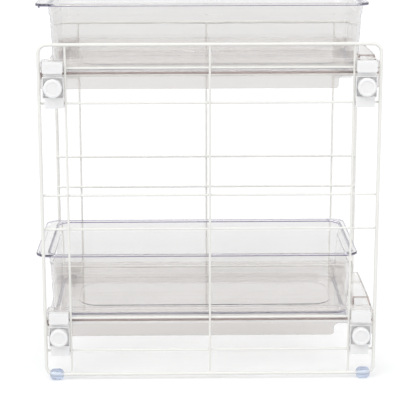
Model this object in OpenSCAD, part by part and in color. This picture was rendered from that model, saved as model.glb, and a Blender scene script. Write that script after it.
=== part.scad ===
/* [Side frames] */
// Depth of each side frame from front to back, over the wire
frame_depth = 400; // [396:1:410]
// Height of each side frame, over the wire
frame_height = 404; // [402:1:420]
// Distance between the two side frames, from wire centre to wire centre
frame_gap = 234; // [230:1:250]
// Diameter of the outer loop's wire
loop_wire = 4; // [3.6:0.1:4.4]
// Diameter of the uprights and of the cross wires
grid_wire = 2.6; // [2.2:0.1:3]
// Bend radius of the loop's corners, to the middle of the wire
corner_radius = 10; // [8:1:12]
// Distance from the loop to the front and rear uprights
upright_inset = 30.7; // [30:0.1:32]
// How deep crossing wires sink into each other at a weld
weld = 0.3; // [0.2:0.1:0.5]

/* [Shelf heights] */
// Height of the lowest cross wire above the bottom wire
first_cross = 29.5; // [28:0.5:32]
// Distance between the two cross wires of a pair
pair_gap = 41; // [40:0.5:42]
// Distance from one pair of cross wires to the next
pair_pitch = 151; // [148:1:155]

/* [Shelves] */
// Height of the shelf's floor above the lower wire of its pair
floor_rise = 34; // [33:0.5:35]
// Thickness of the shelf's floor
floor_thickness = 2.5; // [2:0.1:3]
// Thickness of the shelf's rails and skirts
shelf_wall = 2; // [1.6:0.1:2.4]
// Height of the rails above the floor
rail_height = 15.5; // [14:0.5:17]
// Width of each rail
rail_width = 12; // [10:1:14]
// Depth of the skirts below the floor
skirt_depth = 18.5; // [18:0.5:20]
// Distance that the skirt is set in from the rail's outer face
skirt_inset = 0.8; // [0.4:0.1:1]
// Length of the notch in each skirt
notch_length = 17; // [14:1:18]
// Height that is left of the skirt above the notch
notch_top = 3.8; // [3:0.2:5]
// Width of the stop block behind the bin
stop_width = 110; // [90:5:130]
// Height of the stop block above the floor
stop_height = 13.8; // [12:0.2:15]
// Length of the stop block's flat top
stop_length = 19.5; // [18:0.5:21]

/* [Bins] */
// Length of a bin over its rim
bin_length = 391.5; // [388:0.5:392]
// Width of a bin over its rim
bin_width = 176.2; // [172:0.2:178]
// Height of a bin
bin_height = 78; // [74:1:82]
// Thickness of a bin's walls
bin_wall = 2; // [1.6:0.1:2.4]
// Thickness of a bin's floor
bin_floor = 2.2; // [2:0.1:2.6]
// Thickness of a bin's rim
rim_thickness = 2.2; // [2:0.1:2.6]
// Distance that the front lip stands out from the front wall
front_lip = 16; // [14:0.5:18]
// Distance that the rim stands out from the rear wall
rear_lip = 7; // [6:0.5:8]
// Distance that the rim stands out from each side wall
side_lip = 3.6; // [3.2:0.2:4.4]
// Depth of the finger rib under the front lip, from the top of the rim
finger_rib_depth = 6.2; // [5:0.2:8]
// Distance that the upper bin stands forward of the middle of its shelf
upper_bin_forward = 8.2; // [8:0.2:20]
// Distance that the lower bin stands forward of the middle of its shelf
lower_bin_forward = 15.2; // [8:0.2:20]

/* [Clamps and knobs] */
// Width of a clamp's cap block
cap_width = 23.6; // [23:0.2:25]
// Height of a clamp's cap block
cap_height = 13; // [12:0.5:14]
// Distance that the cap block stands out from the loop's middle
cap_reach = 7.5; // [6:0.5:9]
// Distance that the base block stands out from the loop's middle
base_reach = 4; // [3:0.5:5]
// Diameter of a knob
knob_diameter = 21.8; // [20:0.2:22]
// Thickness of a knob
knob_thickness = 11; // [9:0.5:12]
// Height of the knob's axis above the lower wire of the pair
knob_rise = 19; // [18.5:0.1:19.5]
// Diameter of the threaded stud
stud_diameter = 5; // [4:0.5:5]
// Length of the stud, from the back of the knob
stud_length = 15; // [13:0.5:15]

/* [Feet] */
// Diameter of a foot before its underside is flattened
foot_diameter = 14; // [13.6:0.2:16]
// Length of a foot along the bottom wire
foot_length = 17; // [14:0.5:17]
// Height of the bottom wire's middle above the ground
foot_rise = 6.6; // [6.2:0.1:6.7]

/* [Hidden] */
$fn = 64;
SIDES = ["right", "left"];
LEVELS = ["upper", "lower"];
ENDS = ["front", "rear"];

// Room between pieces that move past each other
clearance = 0.3;
// Room between the turning stud and its boss
stud_clearance = 0.08;
// Extra length of a cutter past the faces that it opens
past = 1;
// Overlap between shapes that are joined
joint = 0.1;

// Frames
loop_x = frame_gap / 2;
loop_half_depth = (frame_depth - loop_wire) / 2;
loop_height = frame_height - loop_wire;
cross_x = loop_x - loop_wire / 2 - grid_wire / 2 + weld;
upright_x = cross_x + grid_wire - weld;
upright_y = loop_half_depth - upright_inset;

// Shelves
rail_outer_x = loop_x - 9;
rail_inner_x = rail_outer_x - rail_width;
rail_half_length = loop_half_depth - 0.5;
rail_corner = 4;
floor_rear_y = loop_half_depth + 4.5;
stop_front_y = loop_half_depth - 19;
stop_slope = 4;
notch_rear_y = upright_y + 0.2;
notch_soft_corner = 6;
notch_corner = 4;
leg_corner = 3;
boss_diameter = 11;
boss_inner_x = rail_outer_x - 8;
pad_low = 2;
pad_high = 13;
pad_length = 24;

// Bins
bin_top_half_x = bin_width / 2 - side_lip;
bin_top_front_y = -bin_length / 2 + front_lip;
bin_top_rear_y = bin_length / 2 - rear_lip;
side_draft = 2.5;
front_draft = 3.4;
rear_draft = 4.3;
step_drop = 13;
step_out = 1.2;
bottom_edge = 1.6;
bin_bottom_corner = 14;
bin_top_corner = 17;
front_rim_corner = 17;
rear_rim_corner = 14;
rim_edge = 1.4;
rim_turn = 3;
rim_round = 0.6;
finger_rib_half_x = 70;
finger_rib_inset = 3;
finger_rib_thickness = 1.8;
panel_half_x = 51;
panel_front_y = -147;
panel_rear_y = 168;
panel_raise = 0.8;
panel_corner = 24;

// Clamps, knobs and feet
knob_y = loop_half_depth - upright_inset / 2 - 1.25;
pocket_half = knob_diameter / 2 + 0.4;
pocket_wall = 1.2;
pocket_floor_x = loop_x - 2;
pocket_floor_thickness = 2.2;
knob_back_x = pocket_floor_x + pocket_floor_thickness + clearance;
clamp_back_x = cross_x - 1.2;
base_low = -5;
base_side = 0.7;
block_corner = 1.6;
neck_half = 10.5;
neck_depth = 3.5;
groove_radius = grid_wire / 2 + 0.15;
knob_edge = 1.6;
dish_radius = 7.5;
dish_depth = 0.6;
foot_y = loop_half_depth - 12.5;
foot_edge = 4;

// The object's middle from front to back lies between the lower bin's lip and the shelves' rear edge
front_reach = bin_length / 2 + lower_bin_forward;
mid_y = (front_reach - floor_rear_y) / 2;

// Height of the lower wire of the pair that carries a shelf
function pair_z(level) = foot_rise + first_cross + (level == "upper" ? 2 * pair_pitch : 0);
function floor_z(level) = pair_z(level) + floor_rise;
function bin_forward(level) = level == "upper" ? upper_bin_forward : lower_bin_forward;
// Points of an arc, both ends included
function arc(centre, radius, from, to, steps = 8) =
    [for (i = [0 : steps]) centre + radius * [
        cos(from + (to - from) * i / steps),
        sin(from + (to - from) * i / steps)]];
// Outline of a rectangle with round corners, from one corner point to the other
function round_rectangle(low, high, radius) = concat(
    arc([low.x + radius, low.y + radius], radius, 180, 270),
    arc([high.x - radius, low.y + radius], radius, 270, 360),
    arc([high.x - radius, high.y - radius], radius, 0, 90),
    arc([low.x + radius, high.y - radius], radius, 90, 180));

// Turns what is drawn for the right rear corner to another corner
module at_corner(end, side) {
    translate([0, mid_y, 0])
        mirror([side == "left" ? 1 : 0, 0, 0])
            mirror([0, end == "front" ? 1 : 0, 0])
                children();
}

// Extrudes an outline drawn in Y and Z along X
module along_x(from, to) {
    translate([from, 0, 0])
        rotate([90, 0, 90])
            linear_extrude(height = to - from)
                children();
}

// Cylinder along X
module rod_x(from, to, radius) {
    translate([from, 0, 0])
        rotate([0, 90, 0])
            cylinder(r = radius, h = to - from);
}

// Outer loop of one frame, in the plane X = 0, its bottom wire at height 0
module loop_shape() {
    straight_y = loop_half_depth - corner_radius;
    for (z = [0, loop_height])
        translate([0, -straight_y, z])
            rotate([-90, 0, 0])
                cylinder(d = loop_wire, h = 2 * straight_y);
    for (y = [-loop_half_depth, loop_half_depth])
        translate([0, y, corner_radius])
            cylinder(d = loop_wire, h = loop_height - 2 * corner_radius);
    for (end = [0, 1], top = [0, 1])
        translate([0, 0, top * loop_height])
            mirror([0, end, 0])
                mirror([0, 0, top])
                    translate([0, straight_y, corner_radius])
                        rotate([0, 90, 0])
                            rotate_extrude(angle = 90)
                                translate([corner_radius, 0])
                                    circle(d = loop_wire);
}

module frame_loop(side) {
    color("ivory")
        translate([side == "right" ? loop_x : -loop_x, mid_y, foot_rise])
            loop_shape();
}

// Three uprights, which end in the loop's top and bottom wires
module frame_uprights(side) {
    color("ivory")
        for (y = [-upright_y, 0, upright_y])
            translate([side == "right" ? upright_x : -upright_x, mid_y + y, foot_rise + past])
                cylinder(d = grid_wire, h = loop_height - 2 * past);
}

// Three pairs of cross wires, welded to the inner side of the loop and the uprights
module frame_cross_wires(side) {
    color("ivory")
        for (pair = [0 : 2], wire = [0, 1])
            translate([
                side == "right" ? cross_x : -cross_x,
                mid_y - loop_half_depth,
                foot_rise + first_cross + pair * pair_pitch + wire * pair_gap])
                rotate([-90, 0, 0])
                    cylinder(d = grid_wire, h = 2 * loop_half_depth);
}

// Hollow rail on the shelf's right side, open below
module shelf_rail() {
    difference() {
        along_x(rail_inner_x, rail_outer_x)
            polygon(concat(
                [[-rail_half_length, -floor_thickness]],
                [[rail_half_length, -floor_thickness]],
                arc([rail_half_length - rail_corner, rail_height - rail_corner], rail_corner, 0, 90),
                arc([-rail_half_length + rail_corner, rail_height - rail_corner], rail_corner, 90, 180)));
        translate([
            rail_inner_x + shelf_wall,
            -rail_half_length + shelf_wall,
            -floor_thickness - past])
            cube([
                rail_width - 2 * shelf_wall,
                2 * (rail_half_length - shelf_wall),
                rail_height - shelf_wall + floor_thickness + past]);
    }
}

// Outline of the skirt in Y and Z, with its notch and the leg behind it
module skirt_outline() {
    notch_front_y = notch_rear_y - notch_length;
    top = -floor_thickness + past;
    polygon(concat(
        [[-rail_half_length, top]],
        arc([-rail_half_length + leg_corner, -skirt_depth + leg_corner], leg_corner, 180, 270),
        arc([notch_front_y - notch_corner, -skirt_depth + notch_corner], notch_corner, 270, 360),
        arc([notch_front_y + notch_soft_corner, -notch_top - notch_soft_corner], notch_soft_corner, 180, 90),
        arc([notch_rear_y - leg_corner, -notch_top - leg_corner], leg_corner, 90, 0),
        arc([notch_rear_y + leg_corner, -skirt_depth + leg_corner], leg_corner, 180, 270),
        arc([rail_half_length - leg_corner, -skirt_depth + leg_corner], leg_corner, 270, 360),
        [[rail_half_length, top]]));
}

// Pad that rests on the inner side of the upper cross wire, open at its ends
module shelf_pad() {
    translate([rail_outer_x - joint, knob_y - pad_length / 2, pad_low])
        difference() {
            cube([cross_x - grid_wire / 2 - rail_outer_x, pad_length, pad_high - pad_low]);
            translate([-past, -past, shelf_wall])
                cube([
                    cross_x - grid_wire / 2 - rail_outer_x - shelf_wall + past,
                    pad_length + 2 * past,
                    pad_high - pad_low - 2 * shelf_wall]);
        }
}

// Everything on the shelf's right side: rail, skirt, pads and stud bosses
module shelf_side() {
    boss_z = knob_rise - floor_rise;
    difference() {
        union() {
            shelf_rail();
            along_x(rail_outer_x - skirt_inset - shelf_wall, rail_outer_x - skirt_inset)
                skirt_outline();
            for (end = [0, 1])
                mirror([0, end, 0]) {
                    shelf_pad();
                    translate([0, knob_y, boss_z])
                        rod_x(boss_inner_x, pocket_floor_x, boss_diameter / 2);
                }
        }
        for (end = [-1, 1])
            translate([0, end * knob_y, boss_z])
                rod_x(boss_inner_x - past, pocket_floor_x + past, stud_diameter / 2 + stud_clearance);
    }
}

// Stop block behind the bin, with a steep front, a sloping rear and a hollow below
module stop_block() {
    top_rear_y = stop_front_y + stop_length;
    difference() {
        along_x(-stop_width / 2, stop_width / 2)
            polygon([
                [stop_front_y - past / 2, -floor_thickness],
                [stop_front_y, stop_height],
                [top_rear_y, stop_height],
                [top_rear_y + stop_slope, 0],
                [top_rear_y + stop_slope, -floor_thickness]]);
        along_x(-stop_width / 2 + shelf_wall, stop_width / 2 - shelf_wall)
            polygon([
                [stop_front_y + shelf_wall, -floor_thickness - past],
                [stop_front_y + shelf_wall, stop_height - shelf_wall],
                [top_rear_y - shelf_wall, stop_height - shelf_wall],
                [top_rear_y + stop_slope - shelf_wall, 0],
                [top_rear_y + stop_slope - shelf_wall, -floor_thickness - past]]);
    }
}

module shelf(level) {
    rib_depth = 6;
    stop_hollow_y = stop_front_y + shelf_wall;
    color("lightsteelblue", 0.4)
        translate([0, mid_y, floor_z(level)]) {
            difference() {
                translate([-rail_inner_x - joint, -rail_half_length, -floor_thickness])
                    cube([
                        2 * (rail_inner_x + joint),
                        rail_half_length + floor_rear_y,
                        floor_thickness]);
                translate([-stop_width / 2 + shelf_wall, stop_hollow_y, -floor_thickness - past])
                    cube([
                        stop_width - 2 * shelf_wall,
                        floor_rear_y - stop_hollow_y - shelf_wall,
                        floor_thickness + 2 * past]);
            }
            translate([-rail_inner_x, -rail_half_length, -floor_thickness - rib_depth])
                cube([2 * rail_inner_x, shelf_wall, rib_depth + joint]);
            stop_block();
            shelf_side();
            mirror([1, 0, 0])
                shelf_side();
        }
}

// Outline of the bin's wall at a height, grown outwards by a distance
function wall_slice(z, grow = 0) =
    let (share = z / bin_height)
    [
        bin_top_half_x - side_draft * (1 - share) + grow,
        bin_top_front_y + front_draft * (1 - share) - grow,
        bin_top_rear_y - rear_draft * (1 - share) + grow,
        bin_bottom_corner + (bin_top_corner - bin_bottom_corner) * share + grow,
        bin_bottom_corner + (bin_top_corner - bin_bottom_corner) * share + grow,
        z];
// Outline of the rim at a height
function rim_slice(z, grow = 0) = [
    bin_width / 2 + grow,
    -bin_length / 2 - grow,
    bin_length / 2 + grow,
    front_rim_corner + grow,
    rear_rim_corner + grow,
    z];
// Outline of the panel that is raised in the floor
function panel_slice(z, grow = 0) = [
    panel_half_x + grow,
    panel_front_y - grow,
    panel_rear_y + grow,
    panel_corner + grow,
    panel_corner + grow,
    z];
// Points of one slice, anticlockwise from the front left corner
function slice_points(slice) =
    let (half_x = slice[0], front = slice[1], rear = slice[2], near = slice[3], far = slice[4])
    [for (point = concat(
        arc([near - half_x, front + near], near, 180, 270),
        arc([half_x - near, front + near], near, 270, 360),
        arc([half_x - far, rear - far], far, 0, 90),
        arc([far - half_x, rear - far], far, 90, 180)))
        [point.x, point.y, slice[5]]];

// Closed skin over a list of slices, flat across the first and the last one
module skin(slices) {
    count = len(slice_points(slices[0]));
    last = (len(slices) - 1) * count;
    polyhedron(
        points = [for (slice = slices) each slice_points(slice)],
        faces = concat(
            [[for (i = [0 : count - 1]) i]],
            [for (row = [0 : count : last - count], i = [0 : count - 1])
                let (next = (i + 1) % count)
                each [
                    [row + i, row + count + i, row + count + next],
                    [row + i, row + count + next, row + next]]],
            [[for (i = [count - 1 : -1 : 0]) last + i]]));
}

module bin(level) {
    step_z = bin_height - step_drop;
    rim_low = bin_height - rim_thickness;
    color("lavender", 0.4)
        translate([0, mid_y - bin_forward(level), floor_z(level) + clearance]) {
            skin([
                panel_slice(panel_raise),
                panel_slice(0, panel_raise),
                wall_slice(0, -bottom_edge),
                wall_slice(bottom_edge),
                wall_slice(step_z - step_out),
                wall_slice(step_z, step_out),
                wall_slice(rim_low, step_out),
                rim_slice(rim_low, -rim_edge),
                rim_slice(bin_height - rim_turn, -rim_edge),
                rim_slice(bin_height - rim_turn),
                rim_slice(bin_height - rim_round),
                rim_slice(bin_height, -rim_round),
                wall_slice(bin_height, step_out - bin_wall),
                wall_slice(step_z + bin_wall / 2, step_out - bin_wall),
                wall_slice(step_z + bin_wall / 2 - step_out, -bin_wall),
                wall_slice(bin_floor + bottom_edge, -bin_wall),
                wall_slice(bin_floor, -bin_wall - bottom_edge),
                panel_slice(bin_floor, panel_raise),
                panel_slice(bin_floor + panel_raise)]);
            translate([
                -finger_rib_half_x,
                -bin_length / 2 + finger_rib_inset,
                bin_height - finger_rib_depth])
                cube([2 * finger_rib_half_x, finger_rib_thickness, finger_rib_depth - rim_thickness / 2]);
        }
}

// Clamp at the right rear corner, at heights counted from the lower wire of the pair
module clamp_shape() {
    cap_low = pair_gap - 5;
    base_high = knob_rise - pocket_half;
    base_outer_y = knob_y + cap_width / 2 - 1.6;
    base_inner_y = upright_y + grid_wire / 2 + base_side;
    difference() {
        union() {
            along_x(clamp_back_x, loop_x + cap_reach)
                polygon(round_rectangle(
                    [knob_y - cap_width / 2, cap_low],
                    [knob_y + cap_width / 2, cap_low + cap_height],
                    block_corner));
            along_x(clamp_back_x, loop_x + base_reach)
                polygon(round_rectangle(
                    [base_inner_y, base_low],
                    [base_outer_y, base_high + joint],
                    block_corner / 2));
            translate([pocket_floor_x, knob_y - neck_half, knob_rise])
                cube([neck_depth, 2 * neck_half, cap_low - knob_rise + past]);
            translate([
                pocket_floor_x,
                knob_y - pocket_half - pocket_wall,
                knob_rise - pocket_half - pocket_wall])
                cube([
                    loop_x + base_reach - pocket_floor_x,
                    2 * (pocket_half + pocket_wall),
                    2 * (pocket_half + pocket_wall)]);
        }
        translate([
            pocket_floor_x + pocket_floor_thickness,
            knob_y - pocket_half,
            knob_rise - pocket_half])
            cube([loop_x + base_reach, 2 * pocket_half, 2 * pocket_half]);
        for (wire_z = [0, pair_gap]) {
            translate([cross_x, knob_y - cap_width, wire_z])
                rotate([-90, 0, 0])
                    cylinder(r = groove_radius, h = 2 * cap_width);
            translate([clamp_back_x - past, knob_y - cap_width, wire_z - groove_radius])
                cube([cross_x - clamp_back_x + past, 2 * cap_width, 2 * groove_radius]);
        }
        translate([0, knob_y, knob_rise])
            rod_x(pocket_floor_x - past, knob_back_x, stud_diameter / 2 + 2 * clearance);
    }
}

module clamp(level, end, side) {
    color("white")
        translate([0, 0, pair_z(level)])
            at_corner(end, side)
                clamp_shape();
}

// Round knob with a soft edge and a shallow dish in its face, bored for the stud
module knob(level, end, side) {
    radius = knob_diameter / 2;
    color("whitesmoke")
        translate([0, 0, pair_z(level) + knob_rise])
            at_corner(end, side)
                translate([knob_back_x, knob_y, 0])
                    rotate([0, 90, 0])
                        difference() {
                            rotate_extrude()
                                polygon(concat(
                                    [[0, 0], [radius - knob_edge / 2, 0], [radius, knob_edge / 2]],
                                    arc([radius - knob_edge, knob_thickness - knob_edge], knob_edge, 0, 90),
                                    [[dish_radius, knob_thickness]],
                                    [[dish_radius - dish_depth, knob_thickness - dish_depth]],
                                    [[0, knob_thickness - dish_depth]]));
                            translate([0, 0, -past])
                                cylinder(d = stud_diameter, h = knob_thickness / 2 + past);
                        }
}

// Threaded stud, fixed in the knob
module stud(level, end, side) {
    color("silver")
        translate([0, 0, pair_z(level) + knob_rise])
            at_corner(end, side)
                translate([0, knob_y, 0])
                    rod_x(knob_back_x - stud_length, knob_back_x + knob_thickness / 2, stud_diameter / 2);
}

// Soft sleeve on the bottom wire, flat where it stands
module foot(end, side) {
    radius = foot_diameter / 2;
    color("lightblue", 0.7)
        at_corner(end, side)
            translate([loop_x, 0, foot_rise])
                difference() {
                    translate([0, foot_y - foot_length / 2, 0])
                        rotate([-90, 0, 0])
                            rotate_extrude()
                                polygon(concat(
                                    [[0, 0]],
                                    arc([radius - foot_edge, foot_edge], foot_edge, 270, 360),
                                    arc([radius - foot_edge, foot_length - foot_edge], foot_edge, 0, 90),
                                    [[0, foot_length]]));
                    loop_shape();
                    translate([-foot_diameter, foot_y - foot_length, -foot_rise - foot_diameter])
                        cube([2 * foot_diameter, 2 * foot_length, foot_diameter]);
                }
}

for (side = SIDES) {
    frame_loop(side);
    frame_uprights(side);
    frame_cross_wires(side);
}
for (level = LEVELS) {
    shelf(level);
    bin(level);
}
for (level = LEVELS, end = ENDS, side = SIDES) {
    clamp(level, end, side);
    knob(level, end, side);
    stud(level, end, side);
}
for (end = ENDS, side = SIDES) {
    foot(end, side);
}
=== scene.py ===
import math
import random

import bmesh
import bpy
from mathutils import Matrix, Vector


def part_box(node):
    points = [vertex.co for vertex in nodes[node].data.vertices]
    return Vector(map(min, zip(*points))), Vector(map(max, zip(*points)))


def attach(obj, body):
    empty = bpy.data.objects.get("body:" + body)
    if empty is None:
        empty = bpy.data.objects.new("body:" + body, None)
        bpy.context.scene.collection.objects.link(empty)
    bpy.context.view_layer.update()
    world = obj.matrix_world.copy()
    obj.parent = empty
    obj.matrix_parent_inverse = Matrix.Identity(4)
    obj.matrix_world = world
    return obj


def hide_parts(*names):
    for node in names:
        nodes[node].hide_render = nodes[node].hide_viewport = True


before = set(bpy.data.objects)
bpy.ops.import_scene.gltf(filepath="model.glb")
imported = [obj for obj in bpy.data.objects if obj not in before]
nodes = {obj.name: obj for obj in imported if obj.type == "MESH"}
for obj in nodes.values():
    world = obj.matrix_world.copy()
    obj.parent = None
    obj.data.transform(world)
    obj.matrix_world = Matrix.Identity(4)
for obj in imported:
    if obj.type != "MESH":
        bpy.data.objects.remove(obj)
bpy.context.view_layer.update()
random.seed(7)

MM = 0.001
SIDES = ("right", "left")
LEVELS = ("upper", "lower")
ENDS = ("front", "rear")

# Sizes of part.scad that the detailed pieces share, in millimetres
MID_Y = 4.225
LOOP_HALF_DEPTH = 198.0
LOOP_CORNER = 10.0
UPRIGHT_Y = 167.3
CROSS_X = 114.0
UPRIGHT_X = 116.3
PAIR_Z = {"lower": 36.1, "upper": 338.1}
CROSS_Z = (36.1, 77.1, 187.1, 228.1, 338.1, 379.1)
LOOP_Z = (6.6, 406.6)
FOOT_RISE = 6.6
FLOOR_RISE = 34.0
CLEARANCE = 0.3
BIN_FORWARD = {"lower": 15.2, "upper": 8.2}


# ---------------------------------------------------------------- camera
# Fitted to the wires of both side frames in the photo: degrees, millimetres, and pixels of the photo
YAW, PITCH, ROLL = -0.659, 13.536, -0.151
CAMERA_PLACE = (1797.0, -34.2 + MID_Y, 616.4)
FOCAL_LENGTH = 1462.8
PHOTO_SIZE = 416.0
PHOTO_MIDDLE = 208.0
AXIS_U, AXIS_V = 197.35, 208.86
SENSOR = 36.0


def place_camera():
    """The camera of the photo: its place, its turn and the point of the picture that it looks at."""
    data = bpy.data.cameras.new("camera")
    camera = bpy.data.objects.new("camera", data)
    bpy.context.scene.collection.objects.link(camera)
    yaw, pitch, roll = math.radians(YAW), math.radians(PITCH), math.radians(ROLL)
    forward = Vector((-math.cos(yaw) * math.cos(pitch), -math.sin(yaw) * math.cos(pitch), -math.sin(pitch)))
    right = Vector((-math.sin(yaw), math.cos(yaw), 0.0))
    up = right.cross(forward)
    right_rolled = math.cos(roll) * right + math.sin(roll) * up
    up_rolled = -math.sin(roll) * right + math.cos(roll) * up
    turn = Matrix((right_rolled, up_rolled, -forward)).transposed()
    place = Vector(CAMERA_PLACE) * MM
    camera.matrix_world = Matrix.Translation(place) @ turn.to_4x4()
    data.sensor_width = SENSOR
    data.lens = FOCAL_LENGTH / PHOTO_SIZE * SENSOR
    data.shift_x = (PHOTO_MIDDLE - AXIS_U) / PHOTO_SIZE
    data.shift_y = (AXIS_V - PHOTO_MIDDLE) / PHOTO_SIZE
    data.clip_start = 0.05
    data.clip_end = 100.0
    bpy.context.scene.camera = camera


# ---------------------------------------------------------------- light and floor
# A look through both bins and shelves crosses many clear walls, and light is guided along the plates
CLEAR_BOUNCES = 128
SHADOW_BOUNCES = 40


def add_sun(name, strength, angle, direction):
    """Soft sun: its angle in degrees, and the way that its light goes."""
    data = bpy.data.lights.new(name, "SUN")
    data.energy = strength
    data.angle = math.radians(angle)
    lamp = bpy.data.objects.new(name, data)
    lamp.rotation_euler = Vector(direction).to_track_quat("-Z", "Y").to_euler()
    bpy.context.scene.collection.objects.link(lamp)


def add_strip(name, power, width, height, place, target):
    """Tall narrow lamp, in metres and watts, that gives the clear edges a reflection."""
    data = bpy.data.lights.new(name, "AREA")
    data.shape = "RECTANGLE"
    data.size = width
    data.size_y = height
    data.energy = power
    lamp = bpy.data.objects.new(name, data)
    lamp.location = place
    lamp.rotation_euler = (Vector(target) - Vector(place)).to_track_quat("-Z", "Y").to_euler()
    bpy.context.scene.collection.objects.link(lamp)


def light_scene():
    """Even white studio: the camera and the clear plastic see white, and the light on surfaces is softer."""
    scene = bpy.context.scene
    scene.view_settings.view_transform = "Standard"
    scene.cycles.max_bounces = CLEAR_BOUNCES
    scene.cycles.transmission_bounces = CLEAR_BOUNCES
    scene.cycles.glossy_bounces = CLEAR_BOUNCES
    scene.cycles.transparent_max_bounces = SHADOW_BOUNCES
    world = bpy.data.worlds.new("studio")
    scene.world = world
    world.use_nodes = True
    tree = world.node_tree
    tree.nodes.clear()
    out = tree.nodes.new("ShaderNodeOutputWorld")
    lit = tree.nodes.new("ShaderNodeBackground")
    lit.inputs["Color"].default_value = (0.97, 0.985, 1.0, 1.0)
    lit.inputs["Strength"].default_value = 0.7
    seen = tree.nodes.new("ShaderNodeBackground")
    seen.inputs["Color"].default_value = (1.0, 1.0, 1.0, 1.0)
    seen.inputs["Strength"].default_value = 1.0
    path = tree.nodes.new("ShaderNodeLightPath")
    direct = tree.nodes.new("ShaderNodeMath")
    direct.operation = "MAXIMUM"
    visible = tree.nodes.new("ShaderNodeMath")
    visible.operation = "MAXIMUM"
    mix = tree.nodes.new("ShaderNodeMixShader")
    tree.links.new(path.outputs["Is Camera Ray"], direct.inputs[0])
    tree.links.new(path.outputs["Is Glossy Ray"], direct.inputs[1])
    tree.links.new(direct.outputs[0], visible.inputs[0])
    tree.links.new(path.outputs["Is Transmission Ray"], visible.inputs[1])
    tree.links.new(visible.outputs[0], mix.inputs["Fac"])
    tree.links.new(lit.outputs[0], mix.inputs[1])
    tree.links.new(seen.outputs[0], mix.inputs[2])
    tree.links.new(mix.outputs[0], out.inputs["Surface"])
    add_sun("key", 0.98, 50.0, (-0.55, 0.45, -1.0))
    add_sun("fill", 0.38, 60.0, (-0.9, -0.5, -0.7))


def make_floor():
    """Pale floor that keeps the shadow; a little glow brings it up to white where it is seen."""
    mesh = bpy.data.meshes.new("floor")
    half = 60.0
    corners = [(-half, -half, 0), (half, -half, 0), (half, half, 0), (-half, half, 0)]
    mesh.from_pydata(corners, [], [(0, 1, 2, 3)])
    floor = bpy.data.objects.new("floor", mesh)
    floor.location.z = -0.0002
    bpy.context.scene.collection.objects.link(floor)
    material = bpy.data.materials.new("floor")
    material.use_nodes = True
    tree = material.node_tree
    tree.nodes.clear()
    out = tree.nodes.new("ShaderNodeOutputMaterial")
    diffuse = tree.nodes.new("ShaderNodeBsdfDiffuse")
    diffuse.inputs["Color"].default_value = (0.74, 0.74, 0.74, 1)
    glow = tree.nodes.new("ShaderNodeEmission")
    glow.inputs["Color"].default_value = (1, 1, 1, 1)
    path = tree.nodes.new("ShaderNodeLightPath")
    inner = tree.nodes.new("ShaderNodeMath")
    inner.operation = "MAXIMUM"
    dim = tree.nodes.new("ShaderNodeMath")
    dim.operation = "MULTIPLY"
    dim.inputs[1].default_value = 0.18
    scale = tree.nodes.new("ShaderNodeMath")
    scale.operation = "MULTIPLY_ADD"
    scale.inputs[1].default_value = 0.32
    add = tree.nodes.new("ShaderNodeAddShader")
    tree.links.new(path.outputs["Is Glossy Ray"], inner.inputs[0])
    tree.links.new(path.outputs["Is Transmission Ray"], inner.inputs[1])
    tree.links.new(inner.outputs[0], dim.inputs[0])
    tree.links.new(path.outputs["Is Camera Ray"], scale.inputs[0])
    tree.links.new(dim.outputs[0], scale.inputs[2])
    tree.links.new(scale.outputs[0], glow.inputs["Strength"])
    tree.links.new(diffuse.outputs[0], add.inputs[0])
    tree.links.new(glow.outputs[0], add.inputs[1])
    tree.links.new(add.outputs[0], out.inputs["Surface"])
    floor.data.materials.append(material)


# ---------------------------------------------------------------- materials
def surface(name, color, roughness, spread, bump, grain=900.0, coat=0.0, rough_spread=0.06):
    """Opaque material whose tone, gloss and surface vary a little over the piece, and its shader."""
    material = bpy.data.materials.new(name)
    material.use_nodes = True
    tree = material.node_tree
    shader = tree.nodes["Principled BSDF"]
    shader.inputs["Coat Weight"].default_value = coat
    shader.inputs["Coat Roughness"].default_value = 0.15
    place = tree.nodes.new("ShaderNodeTexCoord")
    broad = tree.nodes.new("ShaderNodeTexNoise")
    broad.inputs["Scale"].default_value = 14.0
    broad.inputs["Detail"].default_value = 3.0
    tone = tree.nodes.new("ShaderNodeValToRGB")
    tone.color_ramp.elements[0].position = 0.3
    tone.color_ramp.elements[1].position = 0.7
    tone.color_ramp.elements[0].color = [c * (1 - spread) for c in color] + [1]
    tone.color_ramp.elements[1].color = [min(1, c * (1 + spread)) for c in color] + [1]
    gloss = tree.nodes.new("ShaderNodeMapRange")
    gloss.inputs["To Min"].default_value = roughness - rough_spread
    gloss.inputs["To Max"].default_value = roughness + rough_spread
    fine = tree.nodes.new("ShaderNodeTexNoise")
    fine.inputs["Scale"].default_value = grain
    fine.inputs["Detail"].default_value = 2.0
    relief = tree.nodes.new("ShaderNodeBump")
    relief.inputs["Strength"].default_value = bump
    relief.inputs["Distance"].default_value = 0.0003
    links = tree.links
    links.new(place.outputs["Object"], broad.inputs["Vector"])
    links.new(place.outputs["Object"], fine.inputs["Vector"])
    links.new(broad.outputs["Fac"], tone.inputs["Fac"])
    links.new(tone.outputs["Color"], shader.inputs["Base Color"])
    links.new(broad.outputs["Fac"], gloss.inputs["Value"])
    links.new(gloss.outputs["Result"], shader.inputs["Roughness"])
    links.new(fine.outputs["Fac"], relief.inputs["Height"])
    links.new(relief.outputs["Normal"], shader.inputs["Normal"])
    return material, shader


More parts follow.
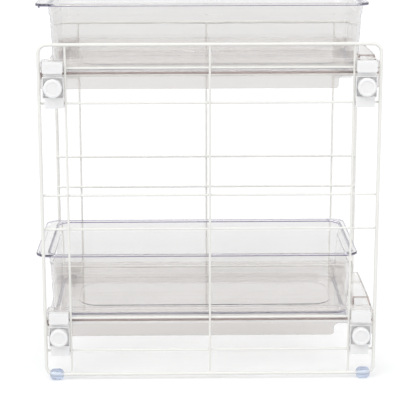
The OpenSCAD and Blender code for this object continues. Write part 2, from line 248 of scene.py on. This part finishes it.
def clear(name, color, roughness, absorb, ior=1.49, ripple=0.02, stretch=(0.5, 0.06, 1.6), haze=0.01, painted_dark_band=None):
    """Clear moulded plastic: gloss with faint flow lines, haze, and a tint that grows with thickness.

    absorb is the colour and the strength of the tint that grows. The last argument is a lowest and a highest
    height in millimetres, between which the surface is tinted darker as painted shade, and that tint."""
    material = bpy.data.materials.new(name)
    material.use_nodes = True
    tree = material.node_tree
    shader = tree.nodes["Principled BSDF"]
    shader.inputs["Transmission Weight"].default_value = 1.0 - haze
    shader.inputs["IOR"].default_value = ior
    place = tree.nodes.new("ShaderNodeTexCoord")
    along = tree.nodes.new("ShaderNodeMapping")
    along.inputs["Scale"].default_value = stretch
    flow = tree.nodes.new("ShaderNodeTexNoise")
    flow.inputs["Scale"].default_value = 130.0
    flow.inputs["Detail"].default_value = 3.0
    flow.inputs["Distortion"].default_value = 0.3
    relief = tree.nodes.new("ShaderNodeBump")
    relief.inputs["Strength"].default_value = ripple
    relief.inputs["Distance"].default_value = 0.002
    cloud = tree.nodes.new("ShaderNodeTexNoise")
    cloud.inputs["Scale"].default_value = 9.0
    cloud.inputs["Detail"].default_value = 2.0
    tone = tree.nodes.new("ShaderNodeValToRGB")
    tone.color_ramp.elements[0].position = 0.35
    tone.color_ramp.elements[1].position = 0.65
    tone.color_ramp.elements[0].color = [c * 0.985 for c in color] + [1]
    tone.color_ramp.elements[1].color = [*color, 1]
    gloss = tree.nodes.new("ShaderNodeMapRange")
    gloss.inputs["To Min"].default_value = roughness * 0.6
    gloss.inputs["To Max"].default_value = roughness * 1.4
    links = tree.links
    volume = tree.nodes.new("ShaderNodeVolumeAbsorption")
    volume.inputs["Color"].default_value = (*absorb[0], 1)
    volume.inputs["Density"].default_value = absorb[1]
    links.new(volume.outputs["Volume"], tree.nodes["Material Output"].inputs["Volume"])
    links.new(place.outputs["Object"], along.inputs["Vector"])
    links.new(along.outputs["Vector"], flow.inputs["Vector"])
    links.new(flow.outputs["Fac"], relief.inputs["Height"])
    links.new(relief.outputs["Normal"], shader.inputs["Normal"])
    links.new(flow.outputs["Fac"], gloss.inputs["Value"])
    links.new(gloss.outputs["Result"], shader.inputs["Roughness"])
    links.new(place.outputs["Object"], cloud.inputs["Vector"])
    links.new(cloud.outputs["Fac"], tone.inputs["Fac"])
    if painted_dark_band is None:
        links.new(tone.outputs["Color"], shader.inputs["Base Color"])
    else:
        # Painted shade: between the two heights the base colour is multiplied by a darker tint
        low, high, tint = painted_dark_band
        split = tree.nodes.new("ShaderNodeSeparateXYZ")
        share = tree.nodes.new("ShaderNodeMapRange")
        share.inputs["From Min"].default_value = low * MM
        share.inputs["From Max"].default_value = high * MM
        strip = tree.nodes.new("ShaderNodeValToRGB")
        strip.color_ramp.interpolation = "CONSTANT"
        points = strip.color_ramp.elements
        points[0].color = (1, 1, 1, 1)
        points[1].position, points[1].color = 0.999, (1, 1, 1, 1)
        points.new(0.001).color = (*tint, 1)
        both = tree.nodes.new("ShaderNodeMix")
        both.data_type = "RGBA"
        both.blend_type = "MULTIPLY"
        both.inputs["Factor"].default_value = 1.0
        links.new(place.outputs["Object"], split.inputs["Vector"])
        links.new(split.outputs["Z"], share.inputs["Value"])
        links.new(share.outputs["Result"], strip.inputs["Fac"])
        # Sockets 6, 7 and 2 of a Mix node are its colours A and B and its colour result
        links.new(tone.outputs["Color"], both.inputs[6])
        links.new(strip.outputs["Color"], both.inputs[7])
        links.new(both.outputs[2], shader.inputs["Base Color"])
    # Light passes through to what lies behind, instead of leaving it in full shadow
    path = tree.nodes.new("ShaderNodeLightPath")
    through = tree.nodes.new("ShaderNodeBsdfTransparent")
    through.inputs["Color"].default_value = (0.985, 0.985, 0.985, 1)
    mix = tree.nodes.new("ShaderNodeMixShader")
    links.new(path.outputs["Is Shadow Ray"], mix.inputs["Fac"])
    links.new(shader.outputs["BSDF"], mix.inputs[1])
    links.new(through.outputs["BSDF"], mix.inputs[2])
    links.new(mix.outputs["Shader"], tree.nodes["Material Output"].inputs["Surface"])
    return material


WIRE, _ = surface("wire_coat", (0.85, 0.84, 0.805), 0.33, spread=0.02, bump=0.08, coat=0.25)
WHITE, white_shader = surface("white_moulded", (0.852, 0.846, 0.845), 0.36, spread=0.012, bump=0.05, grain=1400.0)
white_shader.inputs["Subsurface Weight"].default_value = 0.5
white_shader.inputs["Subsurface Radius"].default_value = (1.0, 0.95, 0.9)
white_shader.inputs["Subsurface Scale"].default_value = 0.003
STEEL, steel_shader = surface("turned_steel", (0.50, 0.50, 0.51), 0.3, spread=0.05, bump=0.1)
steel_shader.inputs["Metallic"].default_value = 1.0
# Each bin and shelf has a material of its own, because its painted dark strip is at its own height: on each bin a
# thin dark line painted just under the rim stands for a dark reflection there
BIN_CLEAR = {
    level: clear(
        level + "_bin_clear", (0.946, 0.938, 0.927), 0.035, ((0.20, 0.18, 0.42), 8.0),
        painted_dark_band=(PAIR_Z[level] + 109.1, PAIR_Z[level] + 109.95, (0.26, 0.22, 0.4)),
    )
    for level in LEVELS
}
# On each shelf the height of the skirt is tinted darker, which is painted shade on the skirt
SHELF_CLEAR = {
    level: clear(
        level + "_shelf_clear", (0.985, 0.98, 0.973), 0.06, ((0.42, 0.26, 0.22), 8.0), ripple=0.03,
        painted_dark_band=(PAIR_Z[level] + 14.0, PAIR_Z[level] + 31.2, (0.876, 0.858, 0.846)),
    )
    for level in LEVELS
}
FOOT_CLEAR = clear(
    "foot_clear", (0.93, 0.95, 0.98), 0.14, ((0.60, 0.70, 0.88), 85.0),
    ior=1.45, ripple=0.35, stretch=(2, 2, 2), haze=0.12,
)


# ---------------------------------------------------------------- meshes
SHARP_EDGE = 35.0


def even_shading(mesh, angle, bevel_width):
    """Mesh shaded smooth with the large faces kept flat, its edges first rounded where a width is given."""
    draft = bpy.data.objects.new("draft", mesh)
    bpy.context.scene.collection.objects.link(draft)
    if bevel_width:
        bevel = draft.modifiers.new("edges", "BEVEL")
        bevel.width = bevel_width * MM
        bevel.segments = 2
        bevel.limit_method = "ANGLE"
        bevel.angle_limit = math.radians(SHARP_EDGE)
        bevel.use_clamp_overlap = True
        mesh = bpy.data.meshes.new_from_object(draft.evaluated_get(bpy.context.evaluated_depsgraph_get()))
        draft.modifiers.clear()
        draft.data = mesh
    mesh.polygons.foreach_set("use_smooth", [True] * len(mesh.polygons))
    mesh.set_sharp_from_angle(angle=math.radians(angle))
    weighted = draft.modifiers.new("shading", "WEIGHTED_NORMAL")
    weighted.mode = "FACE_AREA"
    weighted.weight = 50
    weighted.keep_sharp = True
    shaded = bpy.data.meshes.new_from_object(draft.evaluated_get(bpy.context.evaluated_depsgraph_get()))
    bpy.data.objects.remove(draft)
    return shaded


def finish_mesh(name, mesh, material, body, angle, bevel_width=0.0):
    """Piece of the scene that rides on a body; edges sharper than the angle stay sharp."""
    mesh = even_shading(mesh, angle, bevel_width)
    mesh.name = name
    mesh.materials.clear()
    mesh.materials.append(material)
    piece = bpy.data.objects.new(name, mesh)
    bpy.context.scene.collection.objects.link(piece)
    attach(piece, body)
    return piece


def take_mesh(bm, name):
    """Mesh data of what was built, with its faces turned outwards."""
    bmesh.ops.recalc_face_normals(bm, faces=bm.faces)
    mesh = bpy.data.meshes.new(name)
    bm.to_mesh(mesh)
    bm.free()
    return mesh


# ---------------------------------------------------------------- bins
BIN_LENGTH, BIN_WIDTH, BIN_HEIGHT = 391.5, 176.2, 78.0
WALL, FLOOR, RIM = 2.0, 2.2, 2.2
SIDE_LIP, FRONT_LIP, REAR_LIP = 3.6, 16.0, 7.0
SIDE_DRAFT, FRONT_DRAFT, REAR_DRAFT = 2.5, 3.4, 4.3
BOTTOM_CORNER, TOP_CORNER = 14.0, 17.0
FRONT_RIM_CORNER, REAR_RIM_CORNER = 17.0, 14.0
STEP_Z, STEP_OUT = 65.0, 1.2
OUTER_FOOT_EDGE, INNER_FOOT_EDGE = 2.4, 3.2
OUTER_RIM_EDGE, INNER_RIM_EDGE = 0.9, 1.4
RIM_TURN = 3.0
PANEL_HALF_X, PANEL_FRONT, PANEL_REAR, PANEL_CORNER, PANEL_RAISE = 51.0, -147.0, 168.0, 24.0, 0.8
RIB_FRONT, RIB_REAR, RIB_DEPTH = 3.0, 4.8, 6.2
RIM_STRAIGHT = BIN_WIDTH / 2 - FRONT_RIM_CORNER
RIB_POINTS = (-70.9, -70.0, -24.0, 24.0, 70.0, 70.9)
ARC_STEPS = 14


def arc(cx, cy, radius, start, end):
    """Points round a corner, from the start to the end angle in degrees."""
    turns = [start + (end - start) * i / ARC_STEPS for i in range(ARC_STEPS + 1)]
    return [(cx + radius * math.cos(math.radians(t)), cy + radius * math.sin(math.radians(t))) for t in turns]


def ring(half_x, front, rear, near, far, front_points):
    """Outline of a slice, anticlockwise from the front left corner, with extra points on its front edge."""
    points = arc(near - half_x, front + near, near, 180, 270)
    # The extra points keep their share of the straight edge, so that no slice folds over itself
    points += [(x * (half_x - near) / RIM_STRAIGHT, front) for x in front_points]
    points += arc(half_x - near, front + near, near, 270, 360)
    points += arc(half_x - far, rear - far, far, 0, 90)
    points += arc(far - half_x, rear - far, far, 90, 180)
    return points


def skin(slices, front_points):
    """Closed skin over slices of (outline numbers, height), flat across the first and the last."""
    bm = bmesh.new()
    rows = []
    for half_x, front, rear, near, far, z in slices:
        rows.append([bm.verts.new((x, y, z)) for x, y in ring(half_x, front, rear, near, far, front_points)])
    count = len(rows[0])
    for low, high in zip(rows, rows[1:]):
        for i in range(count):
            j = (i + 1) % count
            bm.faces.new((low[i], low[j], high[j], high[i]))
    bm.faces.new(list(reversed(rows[0])))
    bm.faces.new(rows[-1])
    bmesh.ops.recalc_face_normals(bm, faces=bm.faces)
    return bm, rows


def wall_slice(z, grow=0.0, at=None):
    """Outline of the tapered wall at a height, moved outwards, and set at another height where one is given."""
    share = z / BIN_HEIGHT
    corner = BOTTOM_CORNER + (TOP_CORNER - BOTTOM_CORNER) * share
    return (
        BIN_WIDTH / 2 - SIDE_LIP - SIDE_DRAFT * (1 - share) + grow,
        -BIN_LENGTH / 2 + FRONT_LIP + FRONT_DRAFT * (1 - share) - grow,
        BIN_LENGTH / 2 - REAR_LIP - REAR_DRAFT * (1 - share) + grow,
        corner + grow,
        corner + grow,
        z if at is None else at,
    )


def rim_slice(z, grow):
    """Outline of the rim, moved outwards."""
    front, rear = -BIN_LENGTH / 2 - grow, BIN_LENGTH / 2 + grow
    return (BIN_WIDTH / 2 + grow, front, rear, FRONT_RIM_CORNER + grow, REAR_RIM_CORNER + grow, z)


def blend_slice(a, b, share, z):
    """Outline that lies a share of the way from one to another."""
    return tuple(p + (q - p) * share for p, q in zip(a[:5], b[:5])) + (z,)


def panel_slice(z, grow):
    """Outline of the raised panel in the floor, moved outwards."""
    corner = PANEL_CORNER + grow
    return (PANEL_HALF_X + grow, PANEL_FRONT - grow, PANEL_REAR + grow, corner, corner, z)


def quarter(slices_at, steps, start, end):
    """Slices round an edge: slices_at(cos, sin) for turns from start to end degrees."""
    return [
        slices_at(math.cos(math.radians(start + (end - start) * i / steps)),
                  math.sin(math.radians(start + (end - start) * i / steps)))
        for i in range(steps + 1)
    ]


def build_bin(level):
    """One bin as a single skin, from the middle of its underside over the rim to the middle of its floor."""
    top, low = BIN_HEIGHT, BIN_HEIGHT - RIM
    slices = [panel_slice(PANEL_RAISE, -2), panel_slice(0.75, -0.8), panel_slice(0.1, 0.6), panel_slice(0.0, 1.6)]
    # The outer edge at the foot
    edge = OUTER_FOOT_EDGE
    slices += quarter(lambda c, s: wall_slice(edge * (1 + s), -edge * (1 - c)), 5, -90, 0)
    slices += [wall_slice(STEP_Z - 3.0), wall_slice(STEP_Z - 2.0, 0.2), wall_slice(STEP_Z - 0.6, STEP_OUT - 0.2)]
    slices += [wall_slice(STEP_Z + 0.4, STEP_OUT), wall_slice(low - 1.2, STEP_OUT)]
    slices += [wall_slice(low - 0.35, STEP_OUT + 0.35)]
    # Under the flange, from the wall to the turned edge, with the rows that the finger rib needs
    start, end = wall_slice(low, STEP_OUT + 1.2), rim_slice(low, -1.4)
    reach = start[1] - end[1]
    rib_rear = (start[1] - (-BIN_LENGTH / 2 + RIB_REAR)) / reach
    rib_front = (start[1] - (-BIN_LENGTH / 2 + RIB_FRONT)) / reach
    slices += [start, blend_slice(start, end, rib_rear, low), blend_slice(start, end, rib_front, low), end]
    rib_row = len(slices) - 3
    # The turned edge of the rim, and over it to the inner wall
    turn, out, over = top - RIM_TURN, OUTER_RIM_EDGE, INNER_RIM_EDGE
    slices += [rim_slice(turn, -1.3), rim_slice(turn, -0.3), rim_slice(top - 2.8, -0.05)]
    slices += quarter(lambda c, s: rim_slice(top - out * (1 - s), -out * (1 - c)), 5, 0, 90)
    slices += quarter(
        lambda c, s: wall_slice(top - over * (1 - s), STEP_OUT - WALL + over * (1 - c), top - over * (1 - s)),
        5, 90, 0,
    )
    slices += [wall_slice(STEP_Z + 0.8, STEP_OUT - WALL), wall_slice(STEP_Z - 0.2, STEP_OUT - WALL - 0.2)]
    slices += [wall_slice(STEP_Z - 1.6, -WALL + 0.2), wall_slice(STEP_Z - 2.6, -WALL)]
    # The inner edge at the foot, and the panel from above
    inner = INNER_FOOT_EDGE
    slices += quarter(lambda c, s: wall_slice(FLOOR + inner * (1 - s), -WALL - inner * (1 - c)), 6, 0, 90)
    slices += [panel_slice(FLOOR, 1.6), panel_slice(FLOOR + 0.1, 0.6), panel_slice(FLOOR + 0.75, -0.8)]
    slices += [panel_slice(FLOOR + PANEL_RAISE, -2)]
    bm, rows = skin(slices, RIB_POINTS)
    # The finger rib: the strip of the flange's underside between two rows is drawn down
    first = ARC_STEPS + 1
    strip = []
    for i in range(first + 1, first + 4):
        quad = {rows[rib_row][i], rows[rib_row][i + 1], rows[rib_row + 1][i], rows[rib_row + 1][i + 1]}
        strip += [f for f in rows[rib_row][i].link_faces if set(f.verts) == quad]
    moved = bmesh.ops.extrude_face_region(bm, geom=strip)["geom"]
    down = [v for v in moved if isinstance(v, bmesh.types.BMVert)]
    bmesh.ops.delete(bm, geom=strip, context="FACES")
    for v in down:
        v.co.z = top - RIB_DEPTH
    place = Vector((0.0, MID_Y - BIN_FORWARD[level], PAIR_Z[level] + FLOOR_RISE + CLEARANCE))
    for v in bm.verts:
        v.co = (v.co + place) * MM
    mesh = take_mesh(bm, level + "_bin_shell")
    piece = finish_mesh(level + "_bin_shell", mesh, BIN_CLEAR[level], level + "_bin", 50.0)
    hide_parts(level + "_bin")


# ---------------------------------------------------------------- shelves and clamps
SHELF_EDGE, CLAMP_EDGE = 0.4, 0.35


def rounded(node, width, material, body):
    """A copy of a CAD node whose sharp edges are rounded as a mould rounds them."""
    bm = bmesh.new()
    bm.from_mesh(nodes[node].data)
    bmesh.ops.remove_doubles(bm, verts=bm.verts, dist=0.000005)
    bmesh.ops.dissolve_limit(bm, angle_limit=math.radians(1.0), verts=bm.verts, edges=bm.edges)
    mesh = bpy.data.meshes.new(node + "_body")
    bm.to_mesh(mesh)
    bm.free()
    piece = finish_mesh(node + "_body", mesh, material, body, SHARP_EDGE, width)
    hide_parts(node)


# ---------------------------------------------------------------- studs
THREAD_PITCH, THREAD_CREST, THREAD_ROOT = 0.8 * MM, 2.5 * MM, 2.05 * MM
STUD_POINTS, ROWS_PER_TURN = 20, 4


def build_stud(level, end, side):
    """Threaded stud: each ring of points follows the crests and roots of one long helix."""
    node = "stud_%s_%s_%s" % (level, end, side)
    low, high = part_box(node)
    sign = 1.0 if side == "right" else -1.0
    inner, outer = (low.x, high.x) if side == "right" else (-high.x, -low.x)
    axis_y, axis_z = (low.y + high.y) / 2, (low.z + high.z) / 2
    rows = int((outer - inner) / THREAD_PITCH * ROWS_PER_TURN)
    bm = bmesh.new()
    rings = []
    for row in range(rows + 1):
        ring_points = []
        for i in range(STUD_POINTS):
            turn = i / STUD_POINTS
            along = inner + (outer - inner) * row / rows
            phase = (along / THREAD_PITCH - turn) % 1.0
            depth = min(1.0, 2.4 * abs(phase - 0.5))
            radius = THREAD_CREST - (THREAD_CREST - THREAD_ROOT) * depth
            if row == 0:
                radius = THREAD_ROOT * 0.9
            angle = 2 * math.pi * turn
            y, z = axis_y + radius * math.cos(angle), axis_z + radius * math.sin(angle)
            ring_points.append(bm.verts.new((sign * along, y, z)))
        rings.append(ring_points)
    for first, second in zip(rings, rings[1:]):
        for i in range(STUD_POINTS):
            j = (i + 1) % STUD_POINTS
            bm.faces.new((first[i], first[j], second[j], second[i]))
    bm.faces.new(rings[0])
    bm.faces.new(rings[-1])
    mesh = take_mesh(bm, node + "_thread")
    piece = finish_mesh(node + "_thread", mesh, STEEL, "knob_%s_%s_%s" % (level, end, side), 45.0)
    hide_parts(node)


# ---------------------------------------------------------------- feet
FOOT_RADIUS, FOOT_EDGE, FOOT_BORE, FOOT_POINTS = 7.0, 5.6, 1.8, 48


def build_foot(end, side):
    """Soft sleeve: barrel-shaped, flat where it stands, closed round the wire and its bend."""
    node = "foot_%s_%s" % (end, side)
    low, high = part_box(node)
    toward = 1.0 if end == "rear" else -1.0
    centre_x = (low.x + high.x) / 2 / MM
    length = (high.y - low.y) / MM
    start = (low.y if end == "rear" else high.y) / MM
    radius, edge, bore = FOOT_RADIUS, FOOT_EDGE, FOOT_BORE
    turns = [math.radians(a) for a in range(12, 91, 13)]
    profile = [(bore, 0.6), (bore + 0.9, 0.12)]
    profile += [(radius - edge + edge * math.sin(t), edge - edge * math.cos(t)) for t in turns]
    turns = [math.radians(a) for a in range(13, 91, 13)]
    profile += [(radius - edge + edge * math.cos(t), length - edge + edge * math.sin(t)) for t in turns]
    profile += [(bore + 0.9, length - 0.12), (bore, length - 0.6)]
    bm = bmesh.new()
    loops = []
    for out, along in profile:
        y = start + toward * along
        # Only the bore follows the bend of the wire; the outside stays straight
        bend = max(0.0, abs(y - MID_Y) - (LOOP_HALF_DEPTH - LOOP_CORNER))
        lift = LOOP_CORNER - math.sqrt(max(0.0, LOOP_CORNER * LOOP_CORNER - bend * bend))
        hug = max(0.0, 1.0 - (out - bore) / 2.5)
        ring_points = []
        for i in range(FOOT_POINTS):
            angle = 2 * math.pi * i / FOOT_POINTS
            x, z = centre_x + out * math.cos(angle), FOOT_RISE + lift * hug + out * math.sin(angle)
            ring_points.append(bm.verts.new(Vector((x, y, max(z, 0.0))) * MM))
        loops.append(ring_points)
    for k in range(len(loops)):
        first, second = loops[k], loops[(k + 1) % len(loops)]
        for i in range(FOOT_POINTS):
            j = (i + 1) % FOOT_POINTS
            bm.faces.new((first[i], first[j], second[j], second[i]))
    mesh = take_mesh(bm, node + "_sleeve")
    piece = finish_mesh(node + "_sleeve", mesh, FOOT_CLEAR, "organizer", 60.0)
    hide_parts(node)


# ---------------------------------------------------------------- welds
def build_welds(side):
    """Small fillets of coating where the wires cross, one mesh for each frame."""
    sign = 1.0 if side == "right" else -1.0
    bm = bmesh.new()
    spots = []
    for z in CROSS_Z:
        spots += [(CROSS_X + 1.15, MID_Y + y, z, 1.1, 1.75, 1.55) for y in (-UPRIGHT_Y, 0.0, UPRIGHT_Y)]
        spots += [(CROSS_X + 1.2, MID_Y + y, z, 1.2, 1.9, 1.6) for y in (-LOOP_HALF_DEPTH, LOOP_HALF_DEPTH)]
    for z, inward in zip(LOOP_Z, (1.0, -1.0)):
        height = z + inward * 2.0
        spots += [(UPRIGHT_X, MID_Y + y, height, 1.5, 1.75, 0.9) for y in (-UPRIGHT_Y, 0.0, UPRIGHT_Y)]
    for x, y, z, rx, ry, rz in spots:
        made = bmesh.ops.create_icosphere(bm, subdivisions=3, radius=1.0)["verts"]
        phase = random.uniform(0, 6.28)
        for v in made:
            uneven = 1.0 + 0.05 * math.sin(3.0 * v.co.x + phase) * math.cos(4.0 * v.co.z - phase)
            across, along, up = v.co.x * rx * uneven, v.co.y * ry * uneven, v.co.z * rz * uneven
            v.co = Vector((sign * (x + across), y + along, z + up)) * MM
    mesh = take_mesh(bm, side + "_frame_welds")
    finish_mesh(side + "_frame_welds", mesh, WIRE, "organizer", 60.0)


# ---------------------------------------------------------------- the scene
place_camera()
light_scene()
add_strip("strip_rear", 4.0, 0.10, 1.2, (1.9, 1.3, 0.9), (0, 0, 0.25))
add_strip("strip_front", 3.0, 0.10, 1.2, (1.7, -1.5, 0.9), (0, 0, 0.25))
make_floor()
for level in LEVELS:
    build_bin(level)
    rounded(level + "_shelf", SHELF_EDGE, SHELF_CLEAR[level], "organizer")
    for end in ENDS:
        for side in SIDES:
            spot = "%s_%s_%s" % (level, end, side)
            rounded("clamp_" + spot, CLAMP_EDGE, WHITE, "organizer")
            build_stud(level, end, side)
for side in SIDES:
    build_welds(side)
    for end in ENDS:
        build_foot(end, side)
for name, node in nodes.items():
    if "frame" in name:
        material = WIRE
    elif name.startswith("knob"):
        material = WHITE
    else:
        continue
    for spot in node.material_slots:
        spot.material = material
